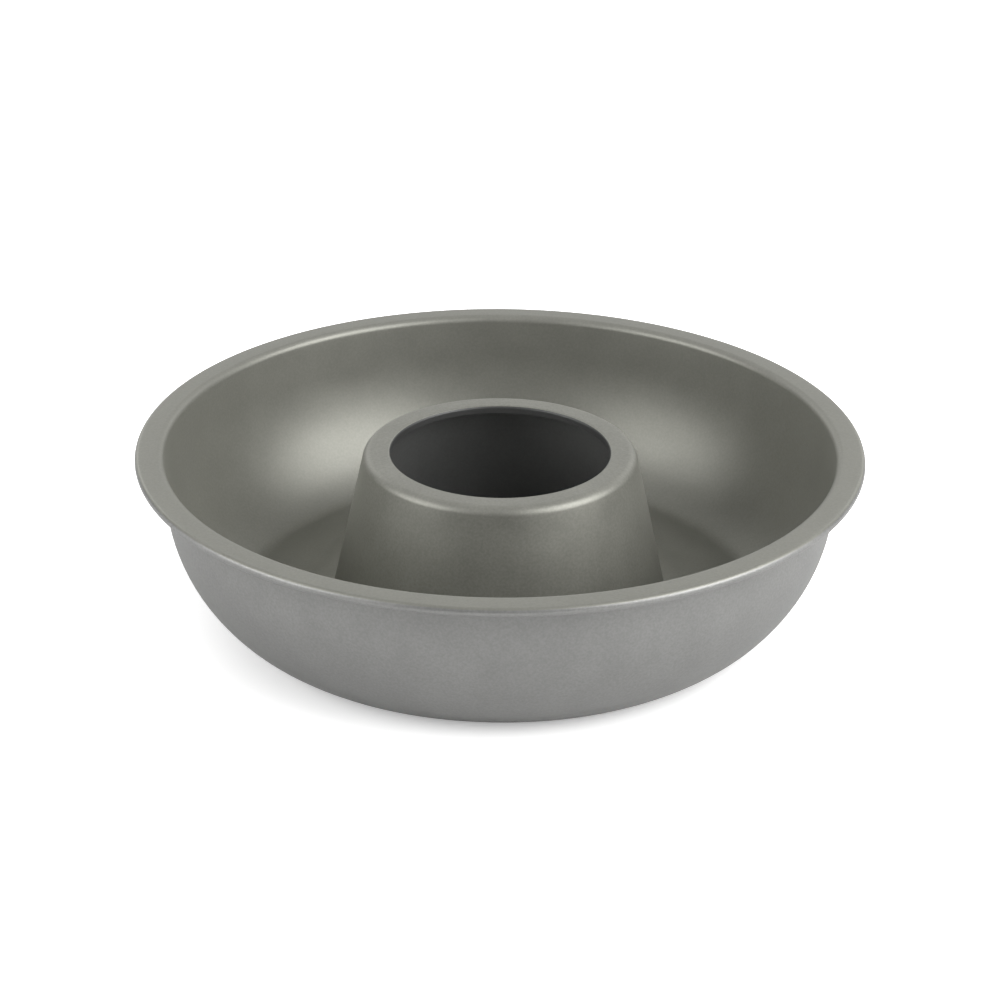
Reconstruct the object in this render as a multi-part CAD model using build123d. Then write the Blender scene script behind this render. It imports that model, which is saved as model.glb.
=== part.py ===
from build123d import *
import os
from collections import namedtuple
from math import acos, asin, cos, degrees, pi, radians, sin, tan

# Ring cake pan of coated sheet steel, in three pieces: a drawn ring bowl with a rolled rim, a drawn
# centre tube locked into the bowl's floor, and the wire that the rim is rolled around.
# Millimetres and degrees, +Z up. The origin is the centre of the plane that the pan stands on.

# Whole pan
overall_diameter = 270.0
overall_height = 64.5

# Bowl wall, given on its outside surface
bowl_sheet = 0.8
flange_reach = 9.8  # from the wall's top to the rim's outer edge
flange_bend_radius = 2.0
wall_draft = 2.5  # lean of the straight band off upright
upper_curve_radius = 60.5
upper_curve_foot = 51.0  # slope off level where the upper curve meets the lower one
lower_curve_radius = 46.3
lower_curve_foot = 34.0  # slope where the lower curve meets the floor corner
floor_corner_radius = 12.0

# Rolled rim and its wire
wire_diameter = 1.5
wire_clearance = 0.15
wire_butt_gap = 0.4
curl_end_gap = 0.32  # from the rolled sheet's cut edge up to the flange's underside

# Centre tube, given on the surface that shows
tube_sheet = 0.8
tube_drop = 4.5  # tube's top below the rim's top
tube_top_diameter = 101.6  # the side's line carried up to the tube's top
tube_draft = 12.5
shoulder_radius = 3.8
top_ring_width = 9.8  # from the hole's edge to the side's line
lip_radius = 1.2
lip_depth = 3.0

# Locked foot: the tube turns in to a step that sits on the floor, and its flange grips from below
seat_clearance = 0.05
floor_edge_gap = 0.2
foot_bend_radius = 0.3
step_run = 0.8
lock_flange = 2.2
foot_lift = 0.45  # locking flange above the table
land_margin = 1.0
jog_radius = 4.8

# Places worked out from the sizes
rim_radius = overall_diameter / 2
tube_top = overall_height - tube_drop
hole_radius = tube_top_diameter / 2 - top_ring_width
roll_inner_radius = wire_diameter / 2 + wire_clearance
roll_radius = roll_inner_radius + bowl_sheet
rim_roll_turn = 270 + degrees(asin((roll_inner_radius - curl_end_gap) / roll_radius))
wall_slope = 90 - wall_draft
side_slope = 90 - tube_draft
land_rise = foot_lift + tube_sheet + seat_clearance
step_seat = land_rise + bowl_sheet + seat_clearance
foot_path_radius = foot_bend_radius + tube_sheet

Run = namedtuple("Run", "length")
Bend = namedtuple("Bend", "radius turn")  # a turn to the left is positive


def sheet_side(start, heading, steps, offset):
    # Edges of one surface of a bent sheet, at a distance to the left of its path
    ahead = Vector(cos(radians(heading)), sin(radians(heading)))
    left = Vector(-ahead.Y, ahead.X)
    place = Vector(*start) + left * offset
    edges = []
    for step in steps:
        if isinstance(step, Run):
            edge = Line(place, place + ahead * step.length)
        elif step.turn > 0:
            edge = JernArc(place, ahead, step.radius - offset, step.turn)
        else:
            edge = JernArc(place, ahead, step.radius + offset, step.turn)
        edges.append(edge)
        place = edge @ 1
        ahead = edge % 1
    return edges


def path_end(start, heading, steps):
    return sheet_side(start, heading, steps, 0)[-1] @ 1


def spun_sheet(start, heading, steps, sheet):
    # The path is one surface of the sheet, the sheet lies to its left, and the section spins about Z
    near = sheet_side(start, heading, steps, 0)
    far = sheet_side(start, heading, steps, sheet)
    inner_edge = Line(near[0] @ 0, far[0] @ 0)
    outer_edge = Line(near[-1] @ 1, far[-1] @ 1)
    section = Plane.XZ * make_face([*near, *far, inner_edge, outer_edge])
    return revolve(section, axis=Axis.Z)


def tube_steps():
    # From the lip's lower edge up, across the top, down the side and in and out through the floor
    shoulder_start = tube_top_diameter / 2 - shoulder_radius * tan(radians(side_slope / 2))
    top_run = shoulder_start - hole_radius - lip_radius
    shoulder = Bend(shoulder_radius - tube_sheet, -side_slope)
    step_bend = Bend(foot_bend_radius, side_slope - 180)
    shoulder_drop = shoulder_radius * (1 - cos(radians(side_slope)))
    step_drop = foot_path_radius * (1 + cos(radians(side_slope)))
    side_run = (tube_top - step_seat - shoulder_drop - step_drop) / sin(radians(side_slope))
    neck_run = bowl_sheet + 2 * seat_clearance - 2 * foot_bend_radius
    return [
        Run(lip_depth - lip_radius),
        Bend(lip_radius - tube_sheet, -90),
        Run(top_run),
        shoulder,
        Run(side_run),
        step_bend,
        Run(step_run),
        Bend(foot_path_radius, 90),
        Run(neck_run),
        Bend(foot_path_radius, 90),
        Run(lock_flange),
    ]


tube_start = (hole_radius + tube_sheet, tube_top - lip_depth)
neck_radius = path_end(tube_start, 90, tube_steps()[:-2]).X + tube_sheet
floor_hole_radius = neck_radius + floor_edge_gap
land_width = foot_bend_radius + lock_flange + land_margin - floor_edge_gap


def wall_steps():
    # From the floor out and up to the rim, with the straight band as long as the height leaves it
    curves = [
        Bend(floor_corner_radius, lower_curve_foot),
        Bend(lower_curve_radius, upper_curve_foot - lower_curve_foot),
        Bend(upper_curve_radius, wall_slope - upper_curve_foot),
    ]
    curves_rise = path_end((0, 0), 0, curves).Y
    bend_rise = flange_bend_radius * (1 - cos(radians(wall_slope)))
    band_rise = overall_height - bowl_sheet - bend_rise - curves_rise
    flange_run = flange_reach - flange_bend_radius * sin(radians(wall_slope)) - roll_radius
    return [
        *curves,
        Run(band_rise / sin(radians(wall_slope))),
        Bend(flange_bend_radius, -wall_slope),
        Run(flange_run),
        Bend(roll_inner_radius, -rim_roll_turn),
    ]


def ring_bowl():
    # The land round the hole stands above the table, to leave room for the tube's locking flange
    jog_turn = degrees(acos(1 - land_rise / (2 * jog_radius)))
    jog = [Bend(jog_radius, -jog_turn), Bend(jog_radius, jog_turn)]
    wall_reach = path_end((0, 0), 0, wall_steps()[:4]).X
    floor_radius = rim_radius - flange_reach - wall_reach
    jog_end = path_end((floor_hole_radius, land_rise), 0, [Run(land_width), *jog]).X
    steps = [Run(land_width), *jog, Run(floor_radius - jog_end), *wall_steps()]
    return spun_sheet((floor_hole_radius, land_rise), 0, steps, bowl_sheet)


def centre_tube():
    return spun_sheet(tube_start, 90, tube_steps(), tube_sheet)


def rim_wire():
    # A round wire bent into a ring, whose two cut ends all but touch at the back
    ring_radius = rim_radius - roll_radius
    gap_angle = wire_butt_gap / ring_radius * 180 / pi
    centre = Plane.XZ * Pos(ring_radius, overall_height - roll_radius)
    ring = revolve(centre * Circle(wire_diameter / 2), axis=Axis.Z, revolution_arc=360 - gap_angle)
    return Rot(0, 0, 90 + gap_angle / 2) * ring


os.makedirs("parts", exist_ok=True)
for name, piece in [("ring_bowl", ring_bowl()), ("centre_tube", centre_tube()), ("rim_wire", rim_wire())]:
    piece.label = name
    export_step(piece, f"parts/{name}.step")
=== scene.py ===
from math import acos, cos, degrees, radians, sin, tan

import bpy
import numpy as np
from mathutils import Matrix, Vector


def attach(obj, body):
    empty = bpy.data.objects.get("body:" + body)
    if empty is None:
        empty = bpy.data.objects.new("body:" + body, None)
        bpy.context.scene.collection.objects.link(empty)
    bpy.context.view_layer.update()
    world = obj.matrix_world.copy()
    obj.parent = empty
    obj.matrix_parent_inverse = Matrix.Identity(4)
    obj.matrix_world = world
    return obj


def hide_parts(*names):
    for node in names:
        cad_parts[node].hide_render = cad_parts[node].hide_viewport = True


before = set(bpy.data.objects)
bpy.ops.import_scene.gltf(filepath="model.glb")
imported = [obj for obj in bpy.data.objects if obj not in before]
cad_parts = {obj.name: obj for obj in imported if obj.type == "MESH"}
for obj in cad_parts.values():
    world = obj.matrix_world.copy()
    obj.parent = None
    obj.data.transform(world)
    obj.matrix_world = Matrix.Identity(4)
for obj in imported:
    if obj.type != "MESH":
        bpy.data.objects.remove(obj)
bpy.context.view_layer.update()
print("frame loaded:", ", ".join(sorted(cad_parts)))

millimetre = 0.001
white = (1, 1, 1, 1)

# How both drawn sheets are meshed
sheet = {
    "thickness": 0.8,  # mm
    "stepsRound": 288,
    "longestStep": 3.0,  # mm along the section
    "widestStep": 6,  # degrees of a bend
    "fewestSteps": 4,  # in a bend
    "crease": 40,  # degrees, from where an edge is drawn sharp
}


# A bent sheet is a list of steps in its section: ("run", length) or ("bend", radius, degrees, + is left)
def bentPath(start, heading, steps):
    # A run's points go straight ahead. A bend's points keep its radius from its centre, which lies
    # square to the heading where the bend starts, to the left, or to the right for a negative turn.
    # Each point's normal is the heading there, turned 90 degrees to the left.
    angle = radians(heading)
    points = [np.array([start], float)]
    normals = [np.array([[-sin(angle), cos(angle)]])]
    for step in steps:
        place = points[-1][-1]
        if step[0] == "run":
            count = max(1, round(step[1] / sheet["longestStep"]))
            along = np.linspace(0, step[1], count + 1)[1:, None]
            turns = np.full(count, angle)
            part = place + along * np.array([cos(angle), sin(angle)])
        else:
            radius = step[1] * np.sign(step[2])
            byTurn = round(abs(step[2]) / sheet["widestStep"])
            byLength = round(abs(radians(step[2]) * radius) / sheet["longestStep"])
            count = max(sheet["fewestSteps"], byTurn, byLength)
            turns = angle + np.radians(np.linspace(0, step[2], count + 1)[1:])
            centre = place + radius * np.array([-sin(angle), cos(angle)])
            part = centre + radius * np.stack([np.sin(turns), -np.cos(turns)], axis=1)
            angle += radians(step[2])
        points.append(part)
        normals.append(np.stack([-np.sin(turns), np.cos(turns)], axis=1))
    return np.concatenate(points), np.concatenate(normals)


def sheetLength(steps):
    # a run counts its length, a bend its radius times its turn
    return sum(step[1] if step[0] == "run" else step[1] * abs(radians(step[2])) for step in steps)


def closedGridFaces(rows, columns):
    # one quad from each point to its next neighbours, on a grid that closes on itself both ways
    here = np.arange(rows * columns).reshape(rows, columns)
    onward = np.roll(here, -1, axis=0)
    corners = [here, onward, np.roll(onward, -1, axis=1), np.roll(here, -1, axis=1)]
    return np.stack(corners, axis=2).reshape(-1, 4)


def spunSheet(name, start, heading, steps, ripple, coated, edgeCoat):
    # Section: the path is the near side, the path moved left by the thickness is the far side, and
    # a cut edge joins them at each end. Surface: the section carried round Z, each point pushed along
    # its normal by the ripple at its angle and its length along the sheet.
    # Materials: 0 on the near side and the cut edges, 1 on the far side where the length along the
    # sheet is within coated, edgeCoat on the rest of the far side.
    path, normal = bentPath(start, heading, steps)
    count = len(path)
    station = np.concatenate([[0], np.cumsum(np.linalg.norm(np.diff(path, axis=0), axis=1))])
    section = np.concatenate([path, (path + sheet["thickness"] * normal)[::-1]])
    lean = np.concatenate([normal, normal[::-1]])
    along = np.concatenate([station, station[::-1]])
    angle = np.linspace(0, 2 * np.pi, sheet["stepsRound"], endpoint=False)[:, None]
    offset = ripple(angle, along[None, :])
    radius = section[None, :, 0] + offset * lean[None, :, 0]
    height = section[None, :, 1] + offset * lean[None, :, 1]
    points = np.stack([radius * np.cos(angle), radius * np.sin(angle), height], axis=2)
    mesh = bpy.data.meshes.new(name)
    faces = closedGridFaces(sheet["stepsRound"], 2 * count)
    mesh.from_pydata(points.reshape(-1, 3) * millimetre, [], faces)
    column = np.arange(2 * count)
    farSide = (column >= count) & (column < 2 * count - 1)
    middle = (along + np.roll(along, -1)) / 2
    shown = (middle >= coated[0]) & (middle <= coated[1])
    coat = np.where(farSide, np.where(shown, 1, edgeCoat), 0)
    mesh.polygons.foreach_set("material_index", np.tile(coat, sheet["stepsRound"]).astype(np.int32))
    mesh.polygons.foreach_set("use_smooth", np.ones(len(mesh.polygons), bool))
    mesh.set_sharp_from_angle(angle=radians(sheet["crease"]))
    spread = mesh.attributes.new("sheetLength", "FLOAT", "POINT")
    spread.data.foreach_set("value", np.tile(along, sheet["stepsRound"]) * millimetre)
    mesh.update()
    made = bpy.data.objects.new(name, mesh)
    bpy.context.scene.collection.objects.link(made)
    print(name, len(mesh.vertices), "vertices, section length", round(float(station[-1]), 1), "mm")
    return made


def newMaterial(name):
    material = bpy.data.materials.new(name)
    material.use_nodes = True
    tree = material.node_tree
    return material, tree, tree.nodes["Principled BSDF"]


def addNode(tree, kind, **values):
    # a value goes to the node's own setting of that name, or else to its socket
    node = tree.nodes.new(kind)
    for key, value in values.items():
        if hasattr(node, key):
            setattr(node, key, value)
        else:
            node.inputs[key].default_value = value
    return node


noise = {"roughness": 0.55, "range": (0.3, 0.7)}  # the range holds nearly all of a noise's values


def noiseLayer(tree, vector, scale, detail):
    node = addNode(tree, "ShaderNodeTexNoise", Scale=scale, Detail=detail, Roughness=noise["roughness"])
    tree.links.new(vector, node.inputs["Vector"])
    return node.outputs["Fac"]


def spreadTo(tree, value, fromLow, fromHigh, toLow, toHigh):
    node = tree.nodes.new("ShaderNodeMapRange")
    tree.links.new(value, node.inputs["Value"])
    node.inputs["From Min"].default_value = fromLow
    node.inputs["From Max"].default_value = fromHigh
    node.inputs["To Min"].default_value = toLow
    node.inputs["To Max"].default_value = toHigh
    return node.outputs["Result"]


def spreadRound(tree, layer, middle, spread):
    return spreadTo(tree, layer, *noise["range"], middle - spread, middle + spread)


def combine(tree, operation, first, second):
    node = addNode(tree, "ShaderNodeMath", operation=operation)
    tree.links.new(first, node.inputs[0])
    tree.links.new(second, node.inputs[1])
    return node.outputs["Value"]


# Sprayed metallic-grey coat: flakes in a thin film, so a broad sheen with a fine grain in it
innerCoat = {
    "colour": (0.253, 0.253, 0.225),
    "metallic": 0.6,
    "roughness": 0.48,
    "roughnessSpread": 0.02,
    "flakeSize": 0.9,  # mm
    "flakeDetail": 2.0,
    "flakeContrast": 0.05,
    "cloudSize": 14.0,  # mm, slow change of film thickness
    "cloudDetail": 4.0,
    "cloudContrast": 0.03,
    "grainDepth": 0.004,  # mm
}
outerCoat = dict(innerCoat, colour=(0.25, 0.25, 0.243), flakeContrast=0.08, cloudContrast=0.05)
tubeCoat = dict(innerCoat, flakeContrast=0.08, cloudContrast=0.05)
# The inside of the tube is the same coat in a darker colour: painted shade for the dark inside the tube
hollowPaintedShadeCoat = dict(innerCoat, colour=(0.152, 0.154, 0.149), roughness=0.5)
# the lip's inner face, darker still: painted shade, so it reads as dark as the inside of the tube
lipPaintedShadeCoat = dict(hollowPaintedShadeCoat, colour=(0.082, 0.083, 0.081))


def burnishMask(tree, coat):
    # none before the reach, all of the burnish past it, a straight ramp between
    length = addNode(tree, "ShaderNodeAttribute", attribute_name="sheetLength").outputs["Fac"]
    start, full = (place * millimetre for place in coat["burnishReach"])
    return spreadTo(tree, length, start, full, 0, coat["burnish"])


def coatMaterial(name, coat):
    material, tree, shader = newMaterial(name)
    place = tree.nodes.new("ShaderNodeTexCoord").outputs["Object"]
    flakes = noiseLayer(tree, place, 1 / (coat["flakeSize"] * millimetre), coat["flakeDetail"])
    clouds = noiseLayer(tree, place, 1 / (coat["cloudSize"] * millimetre), coat["cloudDetail"])
    flakeTone = spreadRound(tree, flakes, 1, coat["flakeContrast"])
    cloudTone = spreadRound(tree, clouds, 1, coat["cloudContrast"])
    colour = addNode(tree, "ShaderNodeVectorMath", operation="SCALE")
    colour.inputs[0].default_value = coat["colour"]
    tree.links.new(combine(tree, "MULTIPLY", flakeTone, cloudTone), colour.inputs["Scale"])
    tree.links.new(colour.outputs["Vector"], shader.inputs["Base Color"])
    roughness = spreadRound(tree, clouds, coat["roughness"], coat["roughnessSpread"])
    if "burnish" in coat:
        roughness = combine(tree, "SUBTRACT", roughness, burnishMask(tree, coat))
    tree.links.new(roughness, shader.inputs["Roughness"])
    bump = addNode(tree, "ShaderNodeBump", Distance=coat["grainDepth"] * millimetre, Strength=1.0)
    tree.links.new(flakes, bump.inputs["Height"])
    tree.links.new(bump.outputs["Normal"], shader.inputs["Normal"])
    shader.inputs["Metallic"].default_value = coat["metallic"]
    return material


# Bowl, given on its outside surface: lengths in mm, slopes and turns in degrees
bowl = {
    "rimRadius": 135.0,
    "height": 64.5,
    "floorHoleRadius": 61.354,
    "landRise": 1.3,
    "landWidth": 3.3,
    "jogRadius": 40.0,  # gentler than the solid's: the photo shows no step in the floor
    "floorCornerRadius": 12.0,
    "lowerCurveFoot": 34,  # slope where the lower curve meets the floor corner
    "lowerCurveRadius": 46.3,
    "upperCurveFoot": 51,  # slope where the upper curve meets the lower one
    "upperCurveRadius": 60.5,
    "wallDraft": 2.5,
    "flangeReach": 9.8,
    "flangeBendRadius": 2.0,
    "rollRadius": 0.9,
    "rollTurn": 290.0,
    "coatTurn": 50.0,  # how far round the roll the inside coat reaches
    "burnish": 0.04,  # how much smoother the coat is on the roll
    "burnishRamp": 1.0,  # length of sheet over which that sets in
    "rippleDepth": 0.03,
    "rippleLobes": (3, 7, 13),  # round the pan
    "rippleLengths": (40, 30, 17),  # along the sheet, for a radian of the wave
    "rippleTurn": 0.6,  # rad
}


def bowlSteps():
    jogTurn = degrees(acos(1 - bowl["landRise"] / (2 * bowl["jogRadius"])))
    slope = 90 - bowl["wallDraft"]
    curves = [
        ("bend", bowl["floorCornerRadius"], bowl["lowerCurveFoot"]),
        ("bend", bowl["lowerCurveRadius"], bowl["upperCurveFoot"] - bowl["lowerCurveFoot"]),
        ("bend", bowl["upperCurveRadius"], slope - bowl["upperCurveFoot"]),
    ]
    curvesRise = bentPath((0, 0), 0, curves)[0][-1, 1]
    bendRise = bowl["flangeBendRadius"] * (1 - cos(radians(slope)))
    bandRise = bowl["height"] - sheet["thickness"] - bendRise - curvesRise
    wall = curves + [("run", bandRise / sin(radians(slope)))]
    wallReach = bentPath((0, 0), 0, wall)[0][-1, 0]
    floorRadius = bowl["rimRadius"] - bowl["flangeReach"] - wallReach
    land = [
        ("run", bowl["landWidth"]),
        ("bend", bowl["jogRadius"], -jogTurn),
        ("bend", bowl["jogRadius"], jogTurn),
    ]
    start = (bowl["floorHoleRadius"], bowl["landRise"])
    jogEnd = bentPath(start, 0, land)[0][-1, 0]
    flangeRun = bowl["flangeReach"] - bowl["flangeBendRadius"] * sin(radians(slope))
    flangeRun -= bowl["rollRadius"] + sheet["thickness"]
    rim = [
        ("bend", bowl["flangeBendRadius"], -slope),
        ("run", flangeRun),
        ("bend", bowl["rollRadius"], -bowl["rollTurn"]),
    ]
    return start, 0, land + [("run", floorRadius - jogEnd)] + wall + rim


def bowlRipple(angle, along):
    # The drawn wall isn't quite round: the depth times the sum of three waves round the pan, which
    # also change along the sheet, the second half as strong as the first and the third a quarter.
    few, more, many = bowl["rippleLobes"]
    longest, medium, shortest = bowl["rippleLengths"]
    slow = np.sin(few * angle + bowl["rippleTurn"]) * np.cos(along / longest)
    middle = np.sin(more * angle + along / medium) / 2
    quick = np.sin(many * angle - along / shortest) / 4
    return bowl["rippleDepth"] * (slow + middle + quick)


bowlSection = bowlSteps()
rollStart = sheetLength(bowlSection[2][:-1])
coatEnd = rollStart + bowl["rollRadius"] * radians(bowl["coatTurn"])
rolled = {"burnish": bowl["burnish"], "burnishReach": (rollStart - bowl["burnishRamp"], rollStart)}
panBowl = spunSheet("panBowl", *bowlSection, bowlRipple, (0, coatEnd), 0)
panBowl.data.materials.append(coatMaterial("bowl outside coat", {**outerCoat, **rolled}))
panBowl.data.materials.append(coatMaterial("bowl inside coat", {**innerCoat, **rolled}))
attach(panBowl, "root")
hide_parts("ring_bowl")

# Tube, given on the surface that shows: lengths in mm, draft in degrees
tube = {
    "top": 60.0,
    "topRadius": 50.8,  # the side's line carried up to the top
    "holeRadius": 41.0,
    "draft": 12.5,
    "shoulderRadius": 3.8,
    "lipRadius": 1.2,
    "lipDepth": 3.0,
    "seat": 2.15,  # underside of the step, on the floor
    "bendRadius": 0.3,
    "stepRun": 0.8,
    "neckRun": 0.3,
    "lockFlange": 2.2,
    "rippleDepth": 0.02,
    "rippleLobes": (2, 5),  # round the tube
    "rippleLengths": (25, 20),  # along the sheet, for a radian of the wave
    "rippleEnd": 65,  # along the sheet, just above the foot
    "rippleFade": 12,  # length over which it dies away before that
}


def tubeSteps():
    # from the lip's lower edge up, across the top, down the side, in and out through the floor
    slope = 90 - tube["draft"]
    footRadius = tube["bendRadius"] + sheet["thickness"]
    topRun = tube["topRadius"] - tube["shoulderRadius"] * tan(radians(slope / 2))
    topRun -= tube["holeRadius"] + tube["lipRadius"]
    shoulderDrop = tube["shoulderRadius"] * (1 - cos(radians(slope)))
    stepDrop = footRadius * (1 + cos(radians(slope)))
    sideRun = (tube["top"] - tube["seat"] - shoulderDrop - stepDrop) / sin(radians(slope))
    steps = [
        ("run", tube["lipDepth"] - tube["lipRadius"]),
        ("bend", tube["lipRadius"] - sheet["thickness"], -90),
        ("run", topRun),
        ("bend", tube["shoulderRadius"] - sheet["thickness"], -slope),
        ("run", sideRun),
        ("bend", tube["bendRadius"], slope - 180),
        ("run", tube["stepRun"]),
        ("bend", footRadius, 90),
        ("run", tube["neckRun"]),
        ("bend", footRadius, 90),
        ("run", tube["lockFlange"]),
    ]
    start = (tube["holeRadius"] + sheet["thickness"], tube["top"] - tube["lipDepth"])
    return start, 90, steps


def tubeRipple(angle, along):
    # The depth times two waves round the tube, which also change along the sheet, the second a third
    # as strong as the first. A factor that falls from 1 to 0 over the fade lets go of both.
    few, more = tube["rippleLobes"]
    longer, shorter = tube["rippleLengths"]
    hold = np.clip((tube["rippleEnd"] - along) / tube["rippleFade"], 0, 1)
    slow = np.sin(few * angle) * np.cos(along / longer)
    quick = np.sin(more * angle + along / shorter) / 3
    return tube["rippleDepth"] * hold * (slow + quick)


tubeSection = tubeSteps()
lipEnd, topStart = (sheetLength(tubeSection[2][:count]) for count in (1, 2))
tubeCoated = ((lipEnd + topStart) / 2, sheetLength(tubeSection[2]))  # from the middle of the lip's bend
panTube = spunSheet("panTube", *tubeSection, tubeRipple, tubeCoated, 2)
# near side, inside the tube: the coat darkened as painted shade
panTube.data.materials.append(coatMaterial("tube hollow coat, painted shade", hollowPaintedShadeCoat))
panTube.data.materials.append(coatMaterial("tube coat", tubeCoat))
# far side before the coated length, the lip's inner face: the coat darkened as painted shade
panTube.data.materials.append(coatMaterial("tube lip coat, painted shade", lipPaintedShadeCoat))
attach(panTube, "root")
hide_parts("centre_tube")

wire = {
    "colour": (0.55, 0.55, 0.56),
    "roughness": 0.28,
    "drawLines": 0.05,  # how far the drawing marks change the roughness
    "markScale": 900.0,  # per metre
    "markDetail": 3.0,
}


def wireMaterial():
    material, tree, shader = newMaterial("drawn wire")
    place = tree.nodes.new("ShaderNodeTexCoord").outputs["Object"]
    marks = noiseLayer(tree, place, wire["markScale"], wire["markDetail"])
    roughness = spreadRound(tree, marks, wire["roughness"], wire["drawLines"])
    tree.links.new(roughness, shader.inputs["Roughness"])
    shader.inputs["Base Color"].default_value = (*wire["colour"], 1)
    shader.inputs["Metallic"].default_value = 1
    return material


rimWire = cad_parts["rim_wire"]
rimWire.material_slots[0].material = wireMaterial()

# Camera, fitted to the photo's outlines: lengths in m and angles in degrees, the lens in mm
view = {
    "distance": 0.945,
    "rise": 28.3817,  # elevation of its place
    "drop": 0.01203,  # how far its place is then let down
    "tilt": 25.583,  # downwards
    "turn": 0.0045,  # to the right
    "roll": 0.4482,
    "lens": 88.053,
    "sensor": 36,
    "clipStart": 0.01,
}


def addCamera():
    rise, tilt, turn, roll = (radians(view[key]) for key in ("rise", "tilt", "turn", "roll"))
    place = Vector((0, -view["distance"] * cos(rise), view["distance"] * sin(rise) - view["drop"]))
    ahead = Vector((sin(turn) * cos(tilt), cos(turn) * cos(tilt), -sin(tilt)))
    level = Vector((cos(turn), -sin(turn), 0))
    upward = level.cross(ahead)
    right = level * cos(roll) + upward * sin(roll)
    top = upward * cos(roll) - level * sin(roll)
    camera = bpy.data.objects.new("camera", bpy.data.cameras.new("camera"))
    camera.data.sensor_width = view["sensor"]
    camera.data.lens = view["lens"]
    camera.data.clip_start = view["clipStart"]
    camera.matrix_world = Matrix((right, top, -ahead)).transposed().to_4x4()
    camera.location = place
    bpy.context.scene.collection.objects.link(camera)
    bpy.context.scene.camera = camera
    print("camera placed")


addCamera()

studio = {
    "diffuseLevel": 0.47,  # the world as matt surfaces see it
    "floorColour": (0.82, 0.82, 0.82),
    "floorRoughness": 0.9,
    "floorHalf": 3,  # m, from the middle to a side
    "floorLevel": -0.0004,  # m, just under the pan
    "floorGlow": 1.0,  # added where the camera looks at the open floor
    "glowReach": (0.07, 0.155),  # m from the middle, from none of it to all of it
    "floorSheen": 0.19,  # the same where metal or glass looks at it
    "sheenReach": (0.09, 0.17),
    "cardColour": (0.02, 0.02, 0.02),
    "lamps": {  # azimuth and elevation in degrees, distance, width and height in m, power in W
        "lampLeft": (-70, 28, 1.3, 0.9, 0.75, 8.5),
        "lampLeftWide": (-60, 28, 1.7, 1.7, 1.5, 3.9),
        "lampRight": (67, 34, 1.3, 1.1, 0.9, 15.7),
        "lampRightWide": (60, 30, 1.7, 1.7, 1.5, 8.2),
        "lampBackLeft": (-140, 28, 1.5, 0.7, 0.7, 1.8),
        "lampBackRight": (140, 28, 1.5, 0.7, 0.7, 1.3),
        "lampSideLeft": (-98, 7, 1.4, 0.6, 0.25, 0.44),
    },
    "cards": {  # the same, with the card's brightness in place of the power
        "cardFront": (0, 24, 1.7, 1.8, 1.7, 0.0),
        "cardFrontLeft": (-58, 24, 1.9, 1.9, 1.8, 0.21),
        "cardFrontRight": (58, 24, 1.9, 1.9, 1.8, 0.33),
        "cardLeft": (-112, 24, 1.9, 1.6, 1.8, 0.01),
        "cardRight": (112, 24, 1.9, 1.6, 1.8, 0.0),
        "cardTop": (0, 72, 2.0, 2.0, 2.0, 0.23),
        "cardBack": (180, 20, 2.3, 2.6, 1.1, 0.94),
        "cardBackGap": (180, 49, 2.2, 2.2, 0.75, 0.42),
        "cardBackTop": (180, 74, 2.2, 2.2, 0.75, 0.9),
    },
}


def mirroredRay(tree, rays):
    # 1 for a glossy or a transmission ray, else 0
    return combine(tree, "MAXIMUM", rays.outputs["Is Glossy Ray"], rays.outputs["Is Transmission Ray"])


def addWorld():
    # white where the camera, metal or glass looks at it, and a plain level for matt surfaces
    world = bpy.data.worlds.new("studio")
    world.use_nodes = True
    tree = world.node_tree
    plain = tree.nodes["Background"]
    plain.inputs["Color"].default_value = white
    plain.inputs["Strength"].default_value = studio["diffuseLevel"]
    backdrop = addNode(tree, "ShaderNodeBackground", Strength=1.0)
    backdrop.inputs["Color"].default_value = white
    rays = tree.nodes.new("ShaderNodeLightPath")
    seen = combine(tree, "MAXIMUM", rays.outputs["Is Camera Ray"], mirroredRay(tree, rays))
    mix = tree.nodes.new("ShaderNodeMixShader")
    tree.links.new(seen, mix.inputs["Fac"])
    tree.links.new(plain.outputs["Background"], mix.inputs[1])
    tree.links.new(backdrop.outputs["Background"], mix.inputs[2])
    tree.links.new(mix.outputs["Shader"], tree.nodes["World Output"].inputs["Surface"])
    bpy.context.scene.world = world


def flatSheet(name, halfWide, halfTall, level):
    corners = [(x * halfWide, y * halfTall, level) for x, y in ((-1, -1), (1, -1), (1, 1), (-1, 1))]
    mesh = bpy.data.meshes.new(name)
    mesh.from_pydata(corners, [], [(0, 1, 2, 3)])
    made = bpy.data.objects.new(name, mesh)
    bpy.context.scene.collection.objects.link(made)
    return made


def placeRound(item, azimuth, elevation, distance):
    # azimuth 0 is the camera's side, + to its right; the item faces the pan
    turn, rise = radians(azimuth), radians(elevation)
    place = distance * Vector((sin(turn) * cos(rise), -cos(turn) * cos(rise), sin(rise)))
    item.location = place
    item.rotation_euler = (-place).to_track_quat("-Z", "Y").to_euler()


def addLamp(name, azimuth, elevation, distance, wide, tall, power):
    data = bpy.data.lights.new(name, "AREA")
    data.shape = "RECTANGLE"
    data.size, data.size_y = wide, tall
    data.energy = power
    made = bpy.data.objects.new(name, data)
    bpy.context.scene.collection.objects.link(made)
    placeRound(made, azimuth, elevation, distance)


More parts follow.
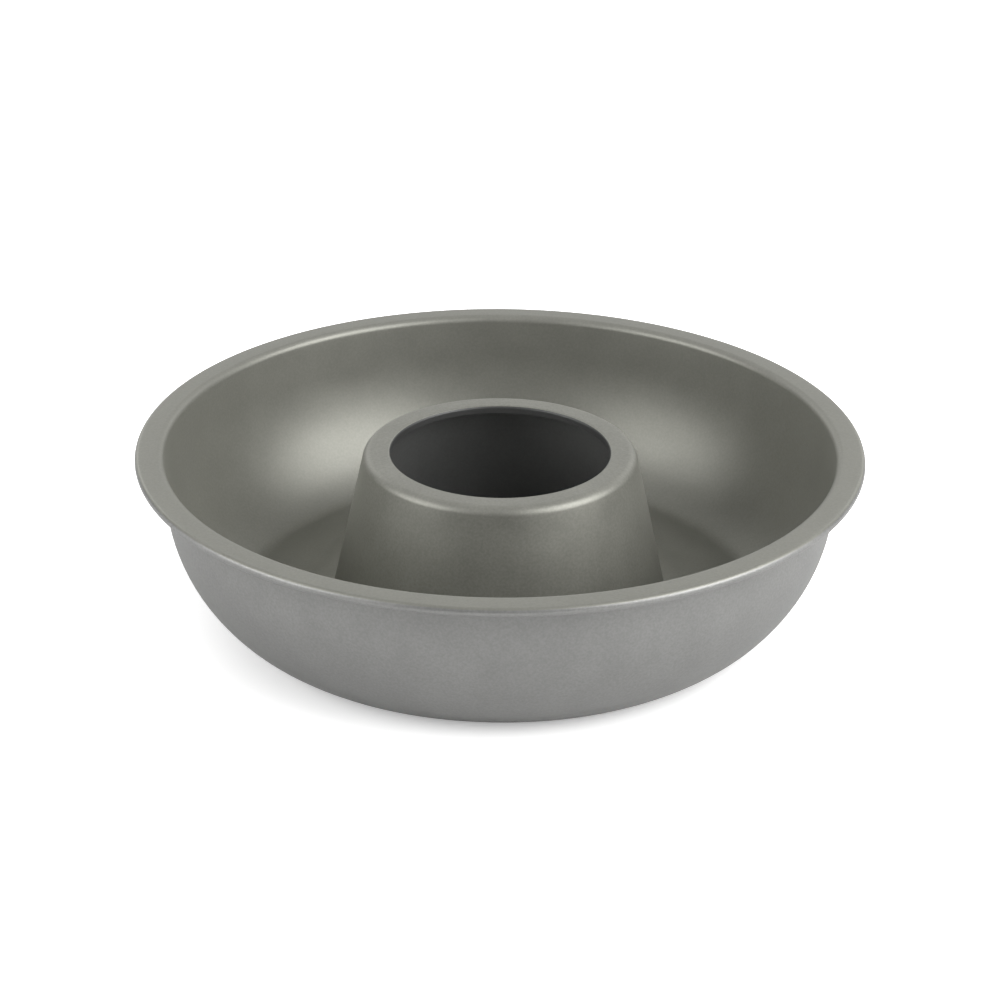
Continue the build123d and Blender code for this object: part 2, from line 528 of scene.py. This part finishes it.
def addCard(name, azimuth, elevation, distance, wide, tall, level):
    # a plain card that darkens what the metal shows of that side; the camera doesn't see it
    made = flatSheet(name, wide / 2, tall / 2, 0)
    placeRound(made, azimuth, elevation, distance)
    material, tree, shader = newMaterial(name)
    shader.inputs["Base Color"].default_value = (*studio["cardColour"], 1)
    shader.inputs["Roughness"].default_value = 1
    shader.inputs["Emission Color"].default_value = white
    shader.inputs["Emission Strength"].default_value = level
    made.data.materials.append(material)
    made.visible_camera = False


def addFloor():
    # the glow and the sheen set in with the distance from the middle, so the pan's shadow is kept
    floor = flatSheet("floor", studio["floorHalf"], studio["floorHalf"], studio["floorLevel"])
    material, tree, shader = newMaterial("white sweep")
    shader.inputs["Base Color"].default_value = (*studio["floorColour"], 1)
    shader.inputs["Roughness"].default_value = studio["floorRoughness"]
    shader.inputs["Specular IOR Level"].default_value = 0
    shader.inputs["Emission Color"].default_value = white
    rays = tree.nodes.new("ShaderNodeLightPath")
    glow = spreadTo(tree, rays.outputs["Is Camera Ray"], 0, 1, 0, studio["floorGlow"])
    sheen = spreadTo(tree, mirroredRay(tree, rays), 0, 1, 0, studio["floorSheen"])
    reach = addNode(tree, "ShaderNodeVectorMath", operation="LENGTH")
    tree.links.new(tree.nodes.new("ShaderNodeTexCoord").outputs["Object"], reach.inputs[0])
    glowMask = spreadTo(tree, reach.outputs["Value"], *studio["glowReach"], 0, 1)
    sheenMask = spreadTo(tree, reach.outputs["Value"], *studio["sheenReach"], 0, 1)
    shownGlow = combine(tree, "MULTIPLY", glow, glowMask)
    shownSheen = combine(tree, "MULTIPLY", sheen, sheenMask)
    tree.links.new(combine(tree, "ADD", shownGlow, shownSheen), shader.inputs["Emission Strength"])
    floor.data.materials.append(material)


addWorld()
for name, settings in studio["lamps"].items():
    addLamp(name, *settings)
for name, settings in studio["cards"].items():
    addCard(name, *settings)
addFloor()
print("studio:", len(studio["lamps"]), "lamps,", len(studio["cards"]), "cards and the floor")

bpy.context.scene.view_settings.view_transform = "Standard"
print("scene ready")
